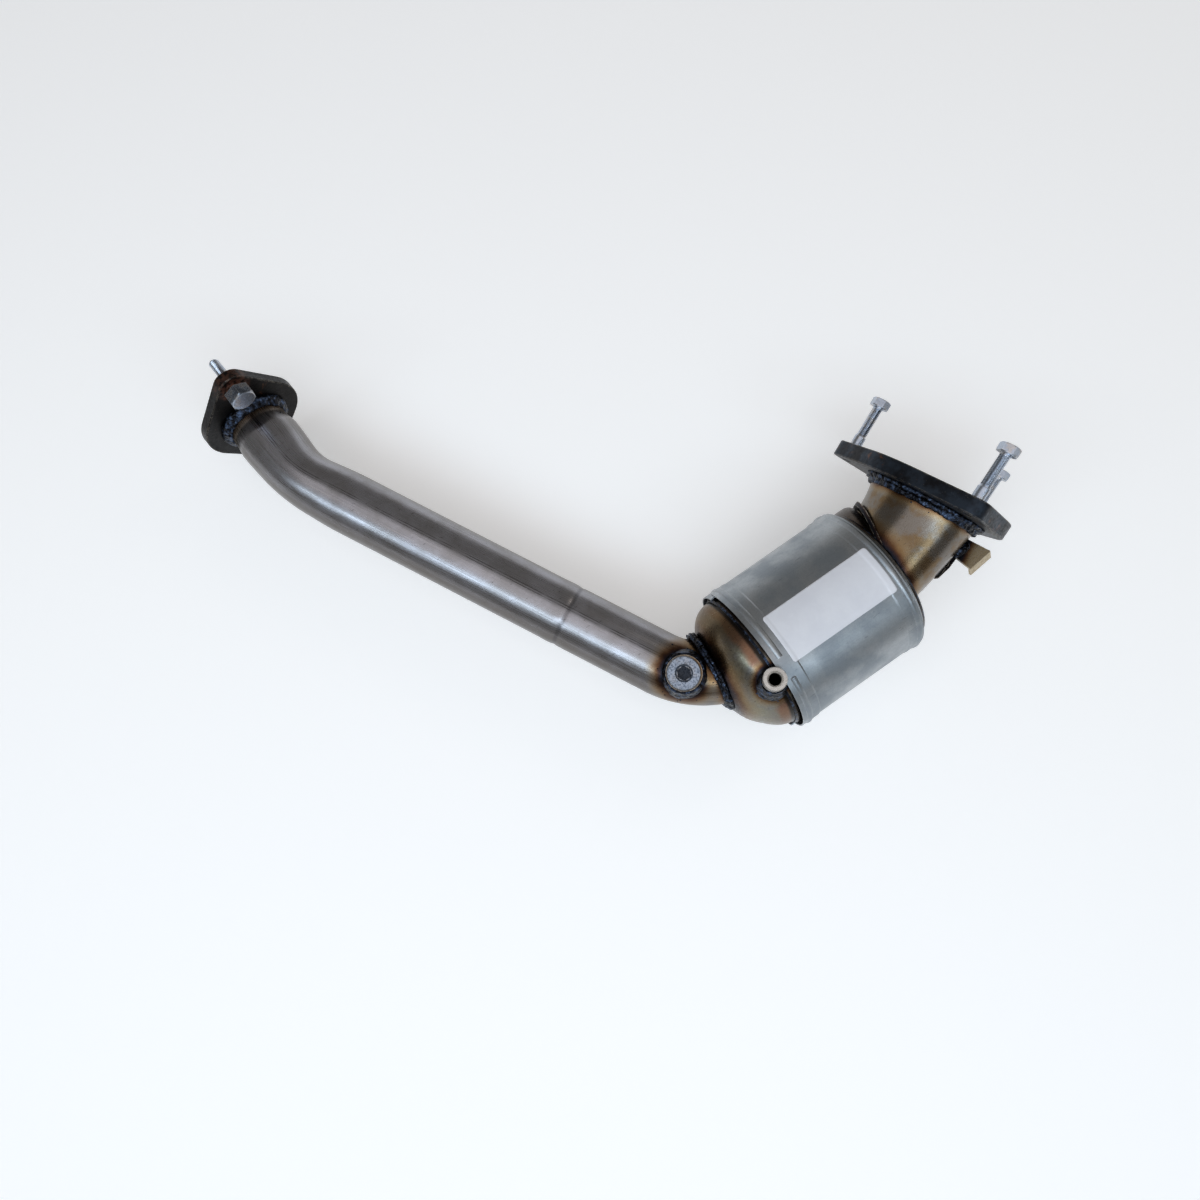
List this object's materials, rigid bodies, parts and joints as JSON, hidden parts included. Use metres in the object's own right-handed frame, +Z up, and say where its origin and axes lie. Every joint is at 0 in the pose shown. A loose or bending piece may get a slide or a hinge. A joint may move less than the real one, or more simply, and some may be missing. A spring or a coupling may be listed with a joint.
{
  "type": "catalytic converter",
  "caption": "Close-coupled catalytic converter: slanted three-lobed inlet flange, short neck, shielded can, drawn dome and a long bent outlet pipe with a bolted end flange.",
  "frame": {"origin": "centre of the inlet flange's sealing face", "axes": "+Z up as the part lies at rest on its shield and outlet flange, sensor ports upwards; +X along its longest extent, from the outlet flange to the can; +Y completes a right-handed set, towards the side the inlet flange faces"},
  "size_m": [0.643, 0.2758, 0.1645],
  "materials": {
    "can_steel": "satin rolled stainless sheet, browned by heat at the ends",
    "dome_steel": "deep-drawn stainless with bronze and olive heat tint",
    "neck_steel": "bare stainless with gold and bronze heat tint and fine turning marks",
    "pipe_steel": "satin bare stainless tube, brown along the edges, fine scratches",
    "shield_steel": "light satin aluminised sheet",
    "flange_black": "black scale with a dull blue sheen and scraped edges",
    "weld_steel": "lumpy black and blue weld bead with spatter",
    "zinc_plate": "bright zinc plate",
    "seal_metal": "dull crush washer",
    "port_steel": "bare turned steel",
    "bracket_steel": "bare sheet, gold and brown heat tint near the weld",
    "honeycomb": "matt coated brick",
    "mat": "grey fibre mat"
  },
  "bodies": {
    "root": {"canister_shell": "can_steel", "support_mat": "mat", "honeycomb": "honeycomb", "outlet_dome": "dome_steel", "outlet_seam_weld": "weld_steel", "inlet_cap": "dome_steel", "inlet_seam_weld": "weld_steel", "shield_front": "shield_steel", "shield_rear": "shield_steel", "outlet_pipe": "pipe_steel", "pipe_dome_weld": "weld_steel", "outlet_flange": "flange_black", "outlet_flange_weld": "weld_steel", "inlet_neck": "neck_steel", "inlet_neck_weld": "weld_steel", "inlet_flange": "flange_black", "inlet_flange_weld": "weld_steel", "sensor_boss": "pipe_steel", "sensor_boss_weld": "weld_steel", "plug_seal": "seal_metal", "sensor_plug": "zinc_plate", "pressure_port": "port_steel", "pressure_port_weld": "weld_steel", "bracket": "bracket_steel", "bracket_weld": "weld_steel", "inlet_bolt_1": "zinc_plate", "inlet_bolt_2": "zinc_plate", "inlet_bolt_3": "zinc_plate", "outlet_bolt_1": "zinc_plate", "outlet_bolt_2": "zinc_plate", "outlet_washer_1": "zinc_plate", "outlet_washer_2": "zinc_plate"}
  },
  "joints": []
}
